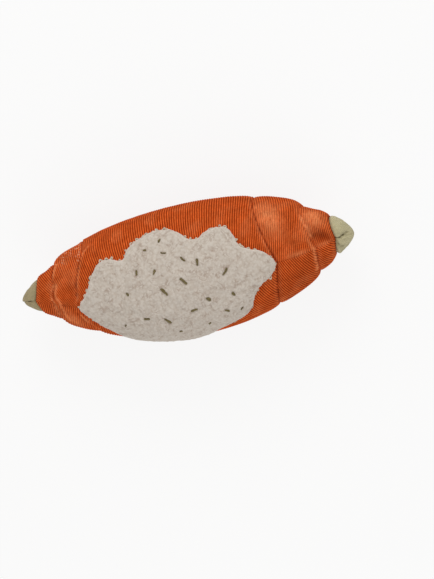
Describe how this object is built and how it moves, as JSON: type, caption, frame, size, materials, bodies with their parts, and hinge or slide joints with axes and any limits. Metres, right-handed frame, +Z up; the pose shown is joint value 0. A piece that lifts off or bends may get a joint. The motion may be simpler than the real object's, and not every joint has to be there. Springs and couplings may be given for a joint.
{
  "type": "plush dog toy",
  "caption": "Stuffed corduroy chew toy shaped like a loaded baked sweet potato, with a fleece topping, embroidered chives, green sewn tips and a squeaker inside.",
  "frame": {"origin": "middle of the footprint, on the surface that the toy lies on", "axes": "+X from the pointed tip to the round one, +Y towards the upper cover, +Z up, out of the fleece topping"},
  "size_m": [0.2824, 0.1093, 0.1002],
  "materials": {
    "corduroy": "orange corduroy, ribs 2 mm apart",
    "tip_cloth": "pale green woven cotton",
    "fleece": "cream sherpa fleece",
    "chive_thread": "olive green satin stitch",
    "fibre": "loose white polyester fibre",
    "soft_plastic": "soft milky plastic",
    "brass": "thin rolled strip"
  },
  "bodies": {
    "root": {"upper_cover": "corduroy", "lower_cover": "corduroy", "pointed_tip_upper": "tip_cloth", "pointed_tip_lower": "tip_cloth", "round_tip_upper": "tip_cloth", "round_tip_lower": "tip_cloth", "fleece_topping": "fleece", "left_filling": "fibre", "right_filling": "fibre", "squeaker_bulb": "soft_plastic", "squeaker_plug": "soft_plastic", "squeaker_reed_block": "soft_plastic", "squeaker_reed": "brass", "chive_01": "chive_thread", "chive_02": "chive_thread", "chive_03": "chive_thread", "chive_04": "chive_thread", "chive_05": "chive_thread", "chive_06": "chive_thread", "chive_07": "chive_thread", "chive_08": "chive_thread", "chive_09": "chive_thread", "chive_10": "chive_thread", "chive_11": "chive_thread", "chive_12": "chive_thread", "chive_13": "chive_thread", "chive_14": "chive_thread", "chive_15": "chive_thread", "chive_16": "chive_thread", "chive_17": "chive_thread", "chive_18": "chive_thread", "chive_19": "chive_thread", "chive_20": "chive_thread", "chive_21": "chive_thread"}
  },
  "joints": []
}
